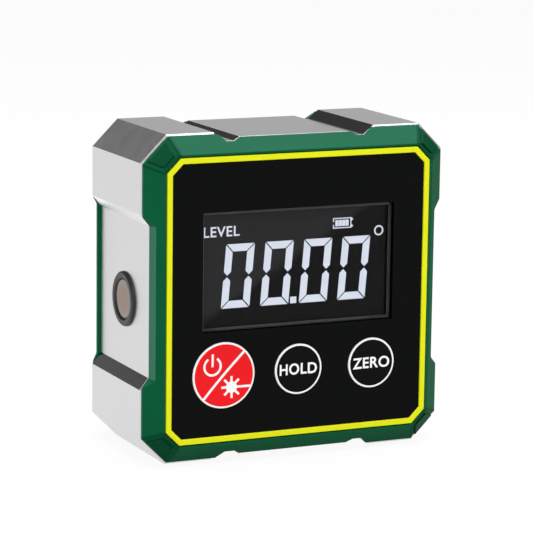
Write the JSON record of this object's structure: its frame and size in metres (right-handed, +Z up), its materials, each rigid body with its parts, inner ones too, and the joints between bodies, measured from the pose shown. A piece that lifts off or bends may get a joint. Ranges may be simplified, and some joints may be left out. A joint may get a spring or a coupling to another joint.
{
  "type": "digital angle meter",
  "caption": "Square battery-powered angle meter with a metal frame, green covers, a lit number display, press keys, a laser aperture in one side and a sliding battery door",
  "frame": {"origin": "middle of the footprint, on the plane of the two base pads", "axes": "+Z up through the body, +Y towards the battery door at the back, +X to the right of someone who reads the display"},
  "size_m": [0.06, 0.03, 0.06],
  "materials": {
    "frame_aluminium": "fine blasted",
    "green_plastic": "satin moulded",
    "yellow_plastic": "satin moulded",
    "clear_sheet": "clear gloss",
    "black_print": "printed",
    "lcd_glass": "dark display glass",
    "lit_segment": "lit",
    "white_plastic": "smooth",
    "black_plastic": "moulded",
    "red_plastic": "smooth moulded",
    "key_black": "smooth moulded",
    "board_laminate": "solder mask",
    "plated_steel": "nickel plated",
    "barrel_brass": "turned",
    "lens_glass": "coated",
    "magnet_plating": "nickel plated",
    "cell_jacket": "printed jacket"
  },
  "bodies": {
    "housing": {"body_frame": "frame_aluminium", "front_bezel": "green_plastic", "rear_cover": "green_plastic", "accent_ring": "yellow_plastic", "front_panel": "clear_sheet", "panel_mask": "black_print", "lcd_panel": "lcd_glass", "lcd_backlight": "white_plastic", "lcd_holder": "black_plastic", "lcd_pins": "plated_steel", "display_digits": "lit_segment", "switch_housings": "black_plastic", "circuit_board": "board_laminate", "board_chips": "black_plastic", "tilt_sensor": "black_plastic", "board_screws": "plated_steel", "cover_screws": "plated_steel", "laser_ring": "black_plastic", "laser_lens": "lens_glass", "laser_barrel": "barrel_brass", "laser_bracket": "black_plastic", "base_magnets": "magnet_plating", "battery_cell_left": "cell_jacket", "battery_cell_right": "cell_jacket", "battery_contacts": "plated_steel", "battery_springs": "plated_steel"},
    "power_key": {"power_key": "red_plastic", "power_key_inlay": "white_plastic", "power_switch_plunger": "black_plastic"},
    "hold_key": {"hold_key": "key_black", "hold_key_ring": "white_plastic", "hold_switch_plunger": "black_plastic"},
    "zero_key": {"zero_key": "key_black", "zero_key_ring": "white_plastic", "zero_switch_plunger": "black_plastic"},
    "battery_door": {"battery_door": "green_plastic"}
  },
  "joints": [
    {"name": "power_key_press", "type": "slide", "parent": "housing", "child": "power_key", "axis": [0, 1, 0], "range_m": [0, 0.0004], "stiffness_N_per_m": 2500},
    {"name": "hold_key_press", "type": "slide", "parent": "housing", "child": "hold_key", "axis": [0, 1, 0], "range_m": [0, 0.0004], "stiffness_N_per_m": 2500},
    {"name": "zero_key_press", "type": "slide", "parent": "housing", "child": "zero_key", "axis": [0, 1, 0], "range_m": [0, 0.0004], "stiffness_N_per_m": 2500},
    {"name": "battery_door_slide", "type": "slide", "parent": "housing", "child": "battery_door", "axis": [0, 0, 1], "range_m": [0, 0.056]}
  ]
}
